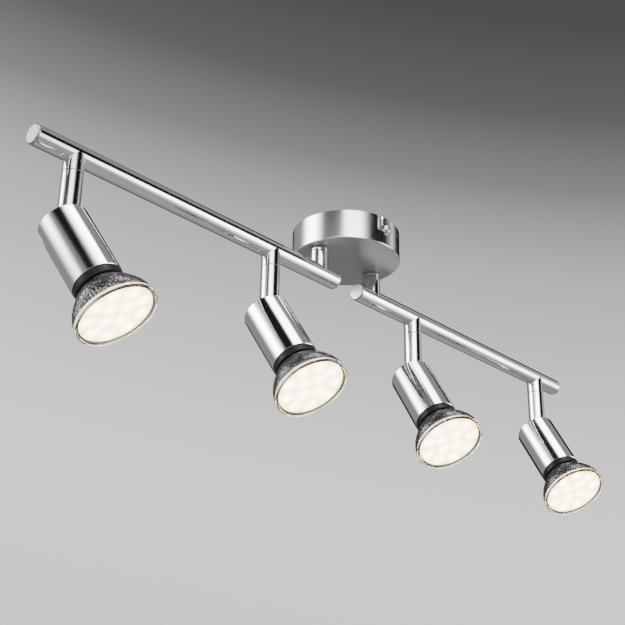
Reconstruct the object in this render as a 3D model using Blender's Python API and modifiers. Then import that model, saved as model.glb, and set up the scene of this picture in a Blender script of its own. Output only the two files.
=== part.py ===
"""Ceiling spotlight bar: four tilting GU10 heads on two swivelling arms under a round canopy.

Metres, +Z up.  The ceiling is the plane Z = 0 and the arms lie along X.
Every moving group hangs from an empty that stands on its joint's axis.
"""
from math import asin, cos, pi, radians, sin, sqrt, tan

import bpy

# ---- clearances ------------------------------------------------------------------------------
GAP = 0.0003            # between two faces that touch on the real lamp
PIVOT_GAP = 0.0004      # around the rounded end of a neck when the head tilts

# ---- ceiling canopy --------------------------------------------------------------------------
CANOPY_RADIUS = 0.039
CANOPY_HEIGHT = 0.022
CANOPY_WALL = 0.0012
CANOPY_EDGE = 0.0008    # rounding of the lower edge
NOTCH_WIDTH = 0.005
NOTCH_DEPTH = 0.0116    # from the rim to the bottom of the entry leg
NOTCH_TURN = 0.0065     # how far the canopy is twisted to lock

# ---- strap and screws in the canopy ----------------------------------------------------------
STRAP_WIDTH = 0.016
STRAP_THICKNESS = 0.0015
STRAP_EAR = 0.014       # how far the bent ears hang down
STRAP_SLOT = 0.0046     # width of the two slots for ceiling screws
SIDE_SCREW_RADIUS = 0.002
SIDE_SCREW_DROP = 0.0092
SIDE_SCREW_LENGTH = 0.0085
SIDE_SCREW_HEAD = (0.0034, 0.0024)      # radius, height
BLOCK_SIZE = (0.0148, 0.027, 0.0065)
BLOCK_TOWER = (0.0086, 0.0066, 0.0042)
BLOCK_WAYS = 3
BLOCK_BORE = 0.0016
EARTH_SCREW = (0.0018, 0.0034, 0.0024)  # shank radius, head radius, head height
EARTH_X = 0.0035
EARTH_CLEAR = 0.0058    # from the end of the terminal block to the earth screw's axis
SLOT_INSET = 0.0103     # from the canopy's wall to the middle of each ceiling slot

# ---- tube that stems, bars, stubs and necks are made of --------------------------------------
TUBE_RADIUS = 0.0065
TUBE_WALL = 0.0012
CAP_THICKNESS = 0.0014
CAP_SPIGOT = 0.005
CAP_CHAMFER = 0.0005

# ---- arms ------------------------------------------------------------------------------------
STEM_INSET = 0.011      # from the canopy's wall to each arm's swivel axis
BAR_DROP = 0.041        # from the ceiling to the bar's axis
BAR_START = 0.0115      # inner end of a bar, from the canopy's axis
BAR_LENGTH = 0.2585
HEAD_X = (0.076, 0.240)  # where the heads hang, from the canopy's axis
WIRE_HOLE = 0.0034
COLLAR_HEIGHT = 0.0025
STUB_DROP = 0.0137      # from the bar's axis to the stub's lower face

# ---- swivels ---------------------------------------------------------------------------------
NIPPLE_RADIUS = 0.004
NIPPLE_BORE = 0.0027
FLARE_RADIUS = 0.005
FLARE_HEIGHT = 0.0012
LIP_HEIGHT = 0.0016     # inward lip that rests on a nipple's flared end
NUT_FLATS = 0.012
NUT_HEIGHT = 0.0032

# ---- neck and head ---------------------------------------------------------------------------
PIVOT_DROP = 0.0915     # from the ceiling to the tilt axis
KNUCKLE_BORE = 0.004
KNUCKLE_HEIGHT = 0.009  # solid end of the neck above the tilt axis
REST_PANS = (30, 8, -8, -12)            # degrees that each head is turned, left to right
REST_TILT = radians(32)
FORWARD_STOP = radians(35)
HEAD_RADIUS = 0.0155
HEAD_WALL = 0.0012
HEAD_LENGTH = 0.048
HEAD_EDGE = 0.0012
HEAD_ABOVE_PIVOT = 0.0055
RING_LENGTH = 0.0048
RING_SPIGOT = 0.004
RING_WALL = 0.0016
PIN_RADIUS = 0.0015
PIN_HEAD = (0.0026, 0.001)              # radius, height
YOKE_THICKNESS = 0.0012
YOKE_WIDTH = 0.0100
HOLDER_HEIGHT = 0.0115
HOLDER_WALL = 0.0016    # radial step from the holder's flange to its body
HOLDER_RECESS = (0.0084, 0.0076)        # radius, depth

# ---- GU10 lamp -------------------------------------------------------------------------------
LAMP_RADIUS = 0.025
LAMP_PROUD = 0.021      # from the ring to the front glass
LAMP_WALL = 0.0012
LAMP_RIM = 0.0022
LENS_THICKNESS = 0.0013
LENS_LEDGE = 0.0010
CUP_STEP = 0.0006       # from the cup to its wider rim
CUP_SWELL = 1.0         # above 1 the cup flares later
CUP_RINGS = 4
LAMP_PIN = (0.00155, 0.0025, 0.0058)    # stalk radius, button radius, length
LAMP_BUTTON = 0.0025    # height of a pin's button
LAMP_PIN_OFFSET = 0.005

ROUND = 20              # sides of a tube
ROUND_BIG = 32          # sides of a head and of its lamp
ROUND_CANOPY = 48
ROUND_SMALL = 12        # sides of a screw, a pin or a small hole

# ---- sizes that follow -----------------------------------------------------------------------
CANOPY_INNER = CANOPY_RADIUS - CANOPY_WALL
CANOPY_FLOOR = -CANOPY_HEIGHT + CANOPY_WALL
STEM_X = CANOPY_RADIUS - STEM_INSET
SLOT_Y = CANOPY_RADIUS - SLOT_INSET
EARTH_Y = -BLOCK_SIZE[1] / 2 - EARTH_CLEAR
TUBE_INNER = TUBE_RADIUS - TUBE_WALL
LIP_RADIUS = NIPPLE_RADIUS + GAP
STUB_BOTTOM = -BAR_DROP - STUB_DROP
COLLAR_TOP = -CANOPY_HEIGHT - GAP
COLLAR_BOTTOM = COLLAR_TOP - COLLAR_HEIGHT
STEM_TOP = COLLAR_BOTTOM - GAP
NECK_TOP = STUB_BOTTOM - GAP
HEAD_INNER = HEAD_RADIUS - HEAD_WALL
HEAD_MOUTH = HEAD_ABOVE_PIVOT - HEAD_LENGTH
CAP_UNDERSIDE = HEAD_ABOVE_PIVOT - HEAD_WALL
SLOT_HALF = TUBE_RADIUS + PIVOT_GAP
YOKE_FLOOR = -SLOT_HALF - GAP
HOLDER_TOP = YOKE_FLOOR - YOKE_THICKNESS - GAP
HOLDER_BOTTOM = HOLDER_TOP - HOLDER_HEIGHT
RING_TOP = HEAD_MOUTH - GAP
RING_BOTTOM = HEAD_MOUTH - RING_LENGTH
RING_INNER = HEAD_RADIUS - RING_WALL
LAMP_FACE = RING_BOTTOM - LAMP_PROUD
LAMP_NECK = RING_INNER - GAP


# ---- modelling helpers -----------------------------------------------------------------------
def clear_scene():
    for thing in list(bpy.data.objects):
        bpy.data.objects.remove(thing, do_unlink=True)


def collection(name):
    group = bpy.data.collections.new(name)
    bpy.context.scene.collection.children.link(group)
    return group


def material(name, colour, roughness, metallic):
    made = bpy.data.materials.new(name)
    made.use_nodes = True
    shader = made.node_tree.nodes["Principled BSDF"]
    shader.inputs["Base Color"].default_value = (*colour, 1)
    shader.inputs["Roughness"].default_value = roughness
    shader.inputs["Metallic"].default_value = metallic
    return made


def place(thing, parent, location=(0, 0, 0), rotation=(0, 0, 0)):
    thing.parent = parent
    thing.location = location
    thing.rotation_euler = rotation
    return thing


def axis_empty(name, parent, location, rotation=(0, 0, 0)):
    empty = bpy.data.objects.new(name, None)
    empty.empty_display_size = 0.01
    PARTS.objects.link(empty)
    return place(empty, parent, location, rotation)


def finish(thing, name, paint, group):
    thing.name = name
    thing.data.name = name
    for owner in list(thing.users_collection):
        owner.objects.unlink(thing)
    group.objects.link(thing)
    if paint:
        thing.data.materials.append(paint)
    return thing


def turned(name, outline, paint, closed, sides=ROUND):
    """Spin an outline of (radius, height) points about Z; a closed one makes a hollow ring."""
    mesh = bpy.data.meshes.new(name)
    points = [(radius, 0, height) for radius, height in outline]
    edges = [(n, n + 1) for n in range(len(points) - 1)]
    if closed:
        edges.append((len(points) - 1, 0))
    mesh.from_pydata(points, edges, [])
    thing = bpy.data.objects.new(name, mesh)
    spin = thing.modifiers.new("spin", "SCREW")
    spin.axis = "Z"
    spin.steps = sides
    spin.render_steps = sides
    spin.use_merge_vertices = True
    spin.merge_threshold = 0.00001
    PARTS.objects.link(thing)
    mesh.materials.append(paint)
    return thing


def cylinder(name, radius, depth, paint=None, group=None, sides=ROUND):
    bpy.ops.mesh.primitive_cylinder_add(vertices=sides, radius=radius, depth=depth)
    return finish(bpy.context.object, name, paint, group or CUTTERS)


def box(name, size, paint=None, group=None):
    bpy.ops.mesh.primitive_cube_add(size=1)
    thing = bpy.context.object
    for corner in thing.data.vertices:
        corner.co = [value * side for value, side in zip(corner.co, size)]
    return finish(thing, name, paint, group or CUTTERS)


def combine(target, tool, operation="DIFFERENCE"):
    tool.hide_render = True
    tool.display_type = "WIRE"
    change = target.modifiers.new(tool.name, "BOOLEAN")
    change.operation = operation
    change.solver = "EXACT"
    change.object = tool


def arc(centre, radius, start, end, steps):
    """Points (radius, height) on an arc whose angles run from the outward direction."""
    turn = [start + (end - start) * n / steps for n in range(steps + 1)]
    return [(centre[0] + radius * cos(a), centre[1] + radius * sin(a)) for a in turn]


# ---- ceiling canopy and what it holds --------------------------------------------------------
def make_canopy():
    edge = (CANOPY_RADIUS - CANOPY_EDGE, -CANOPY_HEIGHT + CANOPY_EDGE)
    outline = [(CANOPY_INNER, 0), (CANOPY_RADIUS, 0)]
    outline += arc(edge, CANOPY_EDGE, 0, -pi / 2, 2)
    outline += [(0, -CANOPY_HEIGHT), (0, CANOPY_FLOOR), (CANOPY_INNER, CANOPY_FLOOR)]
    shell = turned("canopy", outline, NICKEL, closed=True, sides=ROUND_CANOPY)
    for side in (-1, 1):
        hole = cylinder(f"nipple_hole_{side}", NIPPLE_RADIUS + GAP, CANOPY_WALL * 4)
        place(hole, None, (side * STEM_X, 0, -CANOPY_HEIGHT))
        combine(shell, hole)
        entry_x = side * NOTCH_TURN
        wall_y = side * CANOPY_RADIUS
        entry = box(f"notch_entry_{side}", (NOTCH_WIDTH, CANOPY_WALL * 6, NOTCH_DEPTH * 2))
        combine(shell, place(entry, None, (entry_x, wall_y, 0)))
        reach = NOTCH_TURN + NOTCH_WIDTH
        leg = box(f"notch_leg_{side}", (reach, CANOPY_WALL * 6, NOTCH_WIDTH))
        leg_x = entry_x - side * (reach - NOTCH_WIDTH) / 2
        combine(shell, place(leg, None, (leg_x, wall_y, -NOTCH_DEPTH + NOTCH_WIDTH / 2)))


def make_ceiling_bracket():
    reach = sqrt((CANOPY_INNER - GAP) ** 2 - (STRAP_WIDTH / 2) ** 2)
    strap = box("ceiling_bracket", (STRAP_WIDTH, 2 * reach, STRAP_EAR), ZINC, PARTS)
    place(strap, None, (0, 0, -STRAP_EAR / 2))
    room = box("strap_room", (STRAP_WIDTH * 2, 2 * (reach - STRAP_THICKNESS), STRAP_EAR * 2))
    combine(strap, place(room, None, (0, 0, -STRAP_THICKNESS - STRAP_EAR)))
    for side in (-1, 1):
        thread = cylinder(f"ear_hole_{side}", SIDE_SCREW_RADIUS + GAP, STRAP_THICKNESS * 4)
        place(thread, None, (0, side * reach, -SIDE_SCREW_DROP), (pi / 2, 0, 0))
        combine(strap, thread)
        slot = box(f"ceiling_slot_{side}", (STRAP_SLOT, STRAP_SLOT * 2, STRAP_THICKNESS * 4))
        combine(strap, place(slot, None, (0, side * SLOT_Y, 0)))
    earth = cylinder("earth_hole", EARTH_SCREW[0] + GAP, STRAP_THICKNESS * 4)
    combine(strap, place(earth, None, (EARTH_X, EARTH_Y, 0)))


def make_earth_screw():
    shank, head, height = EARTH_SCREW
    under = -STRAP_THICKNESS - GAP
    outline = [(0, -GAP), (shank, -GAP), (shank, under), (head, under)]
    outline += [(head, under - height * 0.75), (head * 0.7, under - height), (0, under - height)]
    screw = turned("earth_screw", outline, BRASS, closed=False, sides=ROUND_SMALL)
    place(screw, None, (EARTH_X, EARTH_Y, 0))


def make_side_screws():
    """Two pan-head screws that the canopy's notches lock onto."""
    radius, height = SIDE_SCREW_HEAD
    seat = CANOPY_RADIUS + GAP
    outline = [(0, height), (radius * 0.55, height), (radius * 0.9, height * 0.7), (radius, height * 0.3)]
    outline += [(radius, 0), (SIDE_SCREW_RADIUS, 0), (SIDE_SCREW_RADIUS, -SIDE_SCREW_LENGTH)]
    outline += [(0, -SIDE_SCREW_LENGTH)]
    for side, name in ((-1, "front"), (1, "back")):
        screw = turned(f"{name}_side_screw", outline, STEEL, closed=False, sides=ROUND_SMALL)
        place(screw, None, (0, side * seat, -SIDE_SCREW_DROP), (-side * pi / 2, 0, 0))


def make_terminal_block():
    width, length, height = BLOCK_SIZE
    top = -STRAP_THICKNESS - GAP
    block = box("terminal_block", BLOCK_SIZE, NYLON, PARTS)
    place(block, None, (0, 0, top - height / 2))
    for way in range(BLOCK_WAYS):
        y = (way - (BLOCK_WAYS - 1) / 2) * length / BLOCK_WAYS
        tower = box(f"block_tower_{way}", BLOCK_TOWER)
        place(tower, None, (0, y, top - height - BLOCK_TOWER[2] / 2 + 0.0005))
        combine(block, tower, "UNION")
        bore = cylinder(f"block_bore_{way}", BLOCK_BORE, width * 2, sides=ROUND_SMALL)
        place(bore, None, (0, y, top - height * 0.6), (0, pi / 2, 0))
        combine(block, bore)
        screw_hole = cylinder(f"block_screw_hole_{way}", BLOCK_BORE, height, sides=ROUND_SMALL)
        combine(block, place(screw_hole, None, (0, y, top - height - BLOCK_TOWER[2])))


# ---- stems, bars and stubs -------------------------------------------------------------------
def make_nipple(side, name):
    """Hollow nipple with a collar under the canopy; its flared end carries the arm's stem."""
    top = CANOPY_FLOOR + GAP + NUT_HEIGHT + 0.002
    flare_top = STEM_TOP - LIP_HEIGHT - GAP
    bottom = flare_top - FLARE_HEIGHT
    outline = [(NIPPLE_BORE, top), (NIPPLE_RADIUS, top), (NIPPLE_RADIUS, COLLAR_TOP)]
    outline += [(TUBE_RADIUS, COLLAR_TOP), (TUBE_RADIUS, COLLAR_BOTTOM), (NIPPLE_RADIUS, COLLAR_BOTTOM)]
    outline += [(NIPPLE_RADIUS, flare_top), (FLARE_RADIUS, flare_top), (FLARE_RADIUS, bottom)]
    outline += [(NIPPLE_BORE, bottom)]
    place(turned(f"{name}_nipple", outline, NICKEL, closed=True), None, (side * STEM_X, 0, 0))
    nut = cylinder(f"{name}_nut", NUT_FLATS / sqrt(3), NUT_HEIGHT, BRASS, PARTS, sides=6)
    place(nut, None, (side * STEM_X, 0, CANOPY_FLOOR + GAP + NUT_HEIGHT / 2))
    hole = cylinder(f"{name}_nut_hole", NIPPLE_RADIUS + GAP, NUT_HEIGHT * 2, sides=ROUND_SMALL)
    combine(nut, place(hole, None, nut.location))


def saddle(target, x, parent):
    """Cut a tube's end to the round of the bar that it stands on."""
    tool = cylinder(f"{target.name}_saddle", TUBE_RADIUS + GAP, TUBE_RADIUS * 6, sides=ROUND_BIG)
    combine(target, place(tool, parent, (x, 0, 0), (0, pi / 2, 0)))


def make_stem(name, axis):
    """Stem of an arm: a tube with an inward lip at its top, cut to the bar at its foot."""
    top = STEM_TOP + BAR_DROP
    outline = [(LIP_RADIUS, top), (TUBE_RADIUS, top), (TUBE_RADIUS, 0), (TUBE_INNER, 0)]
    outline += [(TUBE_INNER, top - LIP_HEIGHT), (LIP_RADIUS, top - LIP_HEIGHT)]
    stem = turned(f"{name}_stem", outline, NICKEL, closed=True)
    saddle(place(stem, axis), 0, axis)


def make_stub(number, x, axis):
    """Stub under the bar; the flared nipple at its foot carries the neck, which turns on it."""
    bottom = STUB_BOTTOM + BAR_DROP
    flare_top = bottom - GAP - LIP_HEIGHT - GAP
    outline = [(TUBE_INNER, 0), (TUBE_RADIUS, 0), (TUBE_RADIUS, bottom), (NIPPLE_RADIUS, bottom)]
    outline += [(NIPPLE_RADIUS, flare_top), (FLARE_RADIUS, flare_top)]
    outline += [(FLARE_RADIUS, flare_top - FLARE_HEIGHT), (NIPPLE_BORE, flare_top - FLARE_HEIGHT)]
    outline += [(NIPPLE_BORE, bottom + LIP_HEIGHT), (TUBE_INNER, bottom + LIP_HEIGHT)]
    stub = turned(f"stub_{number}", outline, NICKEL, closed=True)
    saddle(place(stub, axis, (x, 0, 0)), x, axis)


def make_bar(side, name, axis):
    """Bar with holes for the wires, and its two end caps."""
    inner = side * (BAR_START - STEM_X)
    outer = inner + side * BAR_LENGTH
    half = BAR_LENGTH / 2 - CAP_THICKNESS - GAP
    outline = [(TUBE_INNER, half), (TUBE_RADIUS, half), (TUBE_RADIUS, -half), (TUBE_INNER, -half)]
    bar = turned(f"{name}_bar", outline, NICKEL, closed=True)
    place(bar, axis, ((inner + outer) / 2, 0, 0), (0, pi / 2, 0))
    feed = cylinder(f"{name}_feed_hole", WIRE_HOLE, TUBE_RADIUS * 1.2, sides=ROUND_SMALL)
    combine(bar, place(feed, axis, (0, 0, TUBE_RADIUS)))
    for count, head_x in enumerate(HEAD_X):
        hole = cylinder(f"{name}_drop_hole_{count}", WIRE_HOLE, TUBE_RADIUS * 1.2, sides=ROUND_SMALL)
        combine(bar, place(hole, axis, (side * (head_x - STEM_X), 0, -TUBE_RADIUS)))
    for end, outward, word in ((inner, -side, "inner"), (outer, side, "outer")):
        cap = turned(f"{name}_{word}_cap", cap_outline(), NICKEL, closed=False)
        place(cap, axis, (end, 0, 0), (0, outward * pi / 2, 0))


def cap_outline():
    """End cap: flat face with a chamfer, and a spigot that fills the tube."""
    spigot = TUBE_INNER - GAP
    outline = [(0, 0), (TUBE_RADIUS - CAP_CHAMFER, 0), (TUBE_RADIUS, -CAP_CHAMFER)]
    outline += [(TUBE_RADIUS, -CAP_THICKNESS), (spigot, -CAP_THICKNESS)]
    outline += [(spigot, -CAP_THICKNESS - CAP_SPIGOT), (0, -CAP_THICKNESS - CAP_SPIGOT)]
    return outline


# ---- neck, head and lamp ---------------------------------------------------------------------
def make_neck(number, pan):
    """Neck tube that ends in a drilled, rounded knuckle on the tilt axis."""
    top = NECK_TOP + PIVOT_DROP
    outline = [(LIP_RADIUS, top), (TUBE_RADIUS, top), (TUBE_RADIUS, 0)]
    last = -asin(sqrt(1 - (KNUCKLE_BORE / TUBE_RADIUS) ** 2))
    outline += arc((0, 0), TUBE_RADIUS, 0, last, 4)[1:]
    outline += [(KNUCKLE_BORE, KNUCKLE_HEIGHT), (TUBE_INNER, KNUCKLE_HEIGHT)]
    outline += [(TUBE_INNER, top - LIP_HEIGHT), (LIP_RADIUS, top - LIP_HEIGHT)]
    neck = turned(f"neck_{number}", outline, NICKEL, closed=True)
    place(neck, pan)
    eye = cylinder(f"neck_eye_{number}", PIN_RADIUS + GAP, TUBE_RADIUS * 4, sides=ROUND_SMALL)
    combine(neck, place(eye, pan, (0, 0, 0), (0, pi / 2, 0)))


def make_head_shell(number, tilt):
    """Head tube with a closed top, slotted for the neck and open down its back."""
    edge = (HEAD_RADIUS - HEAD_EDGE, HEAD_ABOVE_PIVOT - HEAD_EDGE)
    outline = [(0, HEAD_ABOVE_PIVOT)]
    outline += list(reversed(arc(edge, HEAD_EDGE, 0, pi / 2, 3)))
    outline += [(HEAD_RADIUS, HEAD_MOUTH), (HEAD_INNER, HEAD_MOUTH), (HEAD_INNER, CAP_UNDERSIDE)]
    outline += [(0, CAP_UNDERSIDE)]
    shell = turned(f"head_shell_{number}", outline, NICKEL, closed=True, sides=ROUND_BIG)
    place(shell, tilt)
    front = HEAD_ABOVE_PIVOT * tan(FORWARD_STOP) + TUBE_RADIUS / cos(FORWARD_STOP) + GAP - SLOT_HALF
    depth = HEAD_ABOVE_PIVOT * 3
    round_end = cylinder(f"slot_front_{number}", SLOT_HALF, depth, sides=ROUND_BIG)
    combine(shell, place(round_end, tilt, (0, -front, depth / 2)))
    reach = front + HEAD_RADIUS * 1.3
    straight = box(f"slot_run_{number}", (2 * SLOT_HALF, reach, depth))
    combine(shell, place(straight, tilt, (0, reach / 2 - front, depth / 2)))
    back = cylinder(f"slot_back_{number}", SLOT_HALF, HEAD_RADIUS * 1.3, sides=ROUND_BIG)
    combine(shell, place(back, tilt, (0, HEAD_RADIUS * 0.65, 0), (pi / 2, 0, 0)))


def make_yoke(number, tilt):
    """U-shaped yoke under the head's top, and the pin that the neck tilts on."""
    inside = SLOT_HALF + GAP
    outside = inside + YOKE_THICKNESS
    top = CAP_UNDERSIDE - GAP
    bottom = YOKE_FLOOR - YOKE_THICKNESS
    yoke = box(f"yoke_{number}", (2 * outside, YOKE_WIDTH, top - bottom), ZINC, PARTS)
    place(yoke, tilt, (0, 0, (top + bottom) / 2))
    throat = box(f"yoke_throat_{number}", (2 * inside, YOKE_WIDTH * 2, 2 * (top - YOKE_FLOOR)))
    combine(yoke, place(throat, tilt, (0, 0, top)))
    eye = cylinder(f"yoke_eye_{number}", PIN_RADIUS + GAP, outside * 3, sides=ROUND_SMALL)
    combine(yoke, place(eye, tilt, (0, 0, 0), (0, pi / 2, 0)))
    radius, thickness = PIN_HEAD
    head = outside + GAP
    outline = [(0, head + thickness), (radius, head + thickness), (radius, head), (PIN_RADIUS, head)]
    outline += [(PIN_RADIUS, -head), (radius, -head), (radius, -head - thickness)]
    outline += [(0, -head - thickness)]
    pin = turned(f"tilt_pin_{number}", outline, STEEL, closed=False, sides=ROUND_SMALL)
    place(pin, tilt, (0, 0, 0), (0, pi / 2, 0))


def make_mouth_ring(number, tilt):
    spigot = HEAD_INNER - GAP
    outline = [(RING_INNER, RING_TOP + RING_SPIGOT), (spigot, RING_TOP + RING_SPIGOT)]
    outline += [(spigot, RING_TOP), (HEAD_RADIUS - GAP, RING_TOP), (HEAD_RADIUS - GAP, RING_BOTTOM)]
    outline += [(RING_INNER, RING_BOTTOM)]
    place(turned(f"mouth_ring_{number}", outline, BLACK, closed=True, sides=ROUND_BIG), tilt)


def make_holder(number, tilt):
    """Ceramic lamp holder with the recess that the lamp's pins turn in."""
    flange = HEAD_INNER - GAP
    body = flange - HOLDER_WALL
    recess, depth = HOLDER_RECESS
    outline = [(0, HOLDER_TOP), (flange, HOLDER_TOP), (flange, HOLDER_TOP - 0.0025)]
    outline += [(body, HOLDER_TOP - 0.0025), (body, HOLDER_BOTTOM), (recess, HOLDER_BOTTOM)]
    outline += [(recess, HOLDER_BOTTOM + depth), (0, HOLDER_BOTTOM + depth)]
    holder = turned(f"lamp_holder_{number}", outline, CERAMIC, closed=False)
    place(holder, tilt)
    for side in (-1, 1):
        hole = cylinder(f"holder_hole_{number}_{side}", 0.0011, HOLDER_HEIGHT, sides=ROUND_SMALL)
        combine(holder, place(hole, tilt, (0, side * LAMP_PIN_OFFSET * 1.5, HOLDER_TOP)))


def make_lamp_base(number, lamp):
    """Plastic body of the lamp with its two button pins."""
    top = HOLDER_BOTTOM - GAP
    joint = RING_TOP - GAP
    outline = [(0, top), (0.0080, top), (0.0086, top - 0.0008), (0.0094, top - 0.006)]
    outline += [(LAMP_NECK - 0.0015, joint + 0.006), (LAMP_NECK, joint), (0, joint)]
    base = turned(f"lamp_base_{number}", outline, NYLON, closed=False)
    place(base, lamp)
    stalk, button, length = LAMP_PIN
    under = length - LAMP_BUTTON
    shape = [(0, length), (button * 0.8, length), (button, length - 0.0005), (button, under)]
    shape += [(stalk, under), (stalk, -LAMP_BUTTON), (0, -LAMP_BUTTON)]
    for side in (-1, 1):
        pin = turned(f"lamp_pin_{number}_{side}", shape, BRASS, closed=False, sides=ROUND_SMALL)
        PARTS.objects.unlink(pin)
        CUTTERS.objects.link(pin)
        combine(base, place(pin, lamp, (side * LAMP_PIN_OFFSET, 0, top)), "UNION")


def cup_radius(height):
    """Outer radius of the glass cup at a height between the ring and its own rim."""
    share = (RING_BOTTOM - height) / (RING_BOTTOM - LAMP_FACE - LAMP_RIM)
    return LAMP_NECK + (LAMP_RADIUS - CUP_STEP - LAMP_NECK) * sin(share * pi / 2) ** CUP_SWELL


def make_lamp_glass(number, lamp):
    """Glass cup with its rim, and the front lens in the rim's seat."""
    start = RING_TOP - 2 * GAP
    rim_top = LAMP_FACE + LAMP_RIM
    heights = [RING_BOTTOM + (rim_top - RING_BOTTOM) * n / CUP_RINGS for n in range(CUP_RINGS + 1)]
    outer = [(cup_radius(z), z) for z in heights]
    seat = LAMP_FACE + LENS_THICKNESS + 2 * GAP
    lens_radius = LAMP_RADIUS - LAMP_WALL - GAP
    inner = [(radius - LAMP_WALL, z) for radius, z in outer]
    outline = [(0, start), (LAMP_NECK, start)] + outer
    outline += [(LAMP_RADIUS, rim_top), (LAMP_RADIUS, LAMP_FACE), (lens_radius + GAP, LAMP_FACE)]
    outline += [(lens_radius + GAP, seat), (lens_radius - LENS_LEDGE, seat)]
    outline += [(radius, z) for radius, z in reversed(inner)]
    outline += [(0, inner[0][1])]
    place(turned(f"lamp_cup_{number}", outline, GLASS, closed=False, sides=ROUND_BIG), lamp)
    front = LAMP_FACE + GAP / 2
    disc = [(0, front + LENS_THICKNESS), (lens_radius, front + LENS_THICKNESS)]
    disc += [(lens_radius, front + 0.0003), (lens_radius - 0.0005, front), (0, front)]
    place(turned(f"lamp_lens_{number}", disc, LENS, closed=False, sides=ROUND_BIG), lamp)


def make_spot(number, side, x, arm):
    """One spot: pan axis, neck, tilt axis, head and lamp."""
    local_x = side * (x - STEM_X)
    make_stub(number, local_x, arm)
    drop = BAR_DROP - PIVOT_DROP
    rest_pan = radians(REST_PANS[number - 1])
    pan = axis_empty(f"pan_axis_{number}", arm, (local_x, 0, drop), (0, 0, rest_pan))
    make_neck(number, pan)
    tilt = axis_empty(f"tilt_axis_{number}", pan, (0, 0, 0), (-REST_TILT, 0, 0))
    make_head_shell(number, tilt)
    make_yoke(number, tilt)
    make_mouth_ring(number, tilt)
    make_holder(number, tilt)
    lamp = axis_empty(f"lamp_axis_{number}", tilt, (0, 0, 0))
    make_lamp_base(number, lamp)
    make_lamp_glass(number, lamp)


clear_scene()
PARTS = collection("ceiling_spotlight_bar")
CUTTERS = collection("cutters")
NICKEL = material("satin_nickel", (0.62, 0.62, 0.61), 0.28, 1.0)
ZINC = material("zinc_plate", (0.55, 0.56, 0.57), 0.4, 1.0)
STEEL = material("bright_steel", (0.60, 0.60, 0.60), 0.25, 1.0)
BRASS = material("brass", (0.72, 0.56, 0.28), 0.3, 1.0)
BLACK = material("black_plastic", (0.02, 0.02, 0.02), 0.5, 0.0)
CERAMIC = material("white_ceramic", (0.82, 0.81, 0.78), 0.35, 0.0)
NYLON = material("white_nylon", (0.78, 0.78, 0.76), 0.45, 0.0)
GLASS = material("cup_glass", (0.70, 0.72, 0.72), 0.1, 0.0)
LENS = material("front_lens", (0.95, 0.90, 0.80), 0.15, 0.0)

make_canopy()
make_ceiling_bracket()
make_earth_screw()
make_side_screws()
make_terminal_block()
spot_number = 0
for side_sign, side_name in ((-1, "left"), (1, "right")):
    make_nipple(side_sign, side_name)
    arm_axis = axis_empty(f"{side_name}_arm_axis", None, (side_sign * STEM_X, 0, -BAR_DROP))
    make_stem(side_name, arm_axis)
    make_bar(side_sign, side_name, arm_axis)
    order = reversed(HEAD_X) if side_sign < 0 else HEAD_X
    for spot_x in order:
        spot_number += 1
        make_spot(spot_number, side_sign, spot_x, arm_axis)
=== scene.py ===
import math

import bpy
from mathutils import Matrix, Vector


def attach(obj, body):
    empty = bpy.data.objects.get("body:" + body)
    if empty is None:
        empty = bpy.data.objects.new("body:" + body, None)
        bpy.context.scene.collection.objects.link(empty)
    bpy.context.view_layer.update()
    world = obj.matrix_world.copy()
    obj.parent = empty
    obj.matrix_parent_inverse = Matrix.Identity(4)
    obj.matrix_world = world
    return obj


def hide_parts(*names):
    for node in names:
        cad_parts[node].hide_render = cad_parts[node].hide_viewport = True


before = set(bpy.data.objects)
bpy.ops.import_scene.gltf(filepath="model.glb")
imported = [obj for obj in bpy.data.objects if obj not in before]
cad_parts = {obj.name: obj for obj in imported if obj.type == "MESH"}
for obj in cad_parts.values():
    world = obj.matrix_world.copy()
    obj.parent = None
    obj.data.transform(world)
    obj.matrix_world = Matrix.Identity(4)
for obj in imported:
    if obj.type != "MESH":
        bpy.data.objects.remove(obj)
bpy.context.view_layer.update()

# ---- Camera -----------------------------------------------------------------------------------
# The camera stands low in front of the fixture's left end and looks up along the arms.
camera_data = bpy.data.cameras.new("camera")
camera_data.lens = 70.7
camera_data.sensor_width = 36
camera_data.clip_start = 0.01
camera = bpy.data.objects.new("camera", camera_data)
bpy.context.scene.collection.objects.link(camera)
camera.location = (-0.5926, -0.5318, -0.4237)
look = Vector((0.6594, 0.6279, 0.4135)).normalized()
across = Vector((0.6844, -0.7289, 0.0154)).normalized()
camera.rotation_euler = Matrix((across, across.cross(look), -look)).transposed().to_euler()
bpy.context.scene.camera = camera

# ---- Floor ------------------------------------------------------------------------------------
# A pale matt floor lies far below the ceiling. It is left out of mirror reflections, so that the
# low soft boxes still reach the undersides of the tubes.
bpy.ops.mesh.primitive_plane_add(size=30, location=(0, 0, -2.4))
floor = bpy.context.object
floor.name = "floor"
floor_paint = bpy.data.materials.new("floor_paint")
floor_paint.use_nodes = True
floor_shader = floor_paint.node_tree.nodes["Principled BSDF"]
floor_shader.inputs["Roughness"].default_value = 0.8
floor_shader.inputs["Base Color"].default_value = (0.72, 0.72, 0.72, 1)
floor.data.materials.append(floor_paint)
floor.visible_glossy = False

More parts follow.
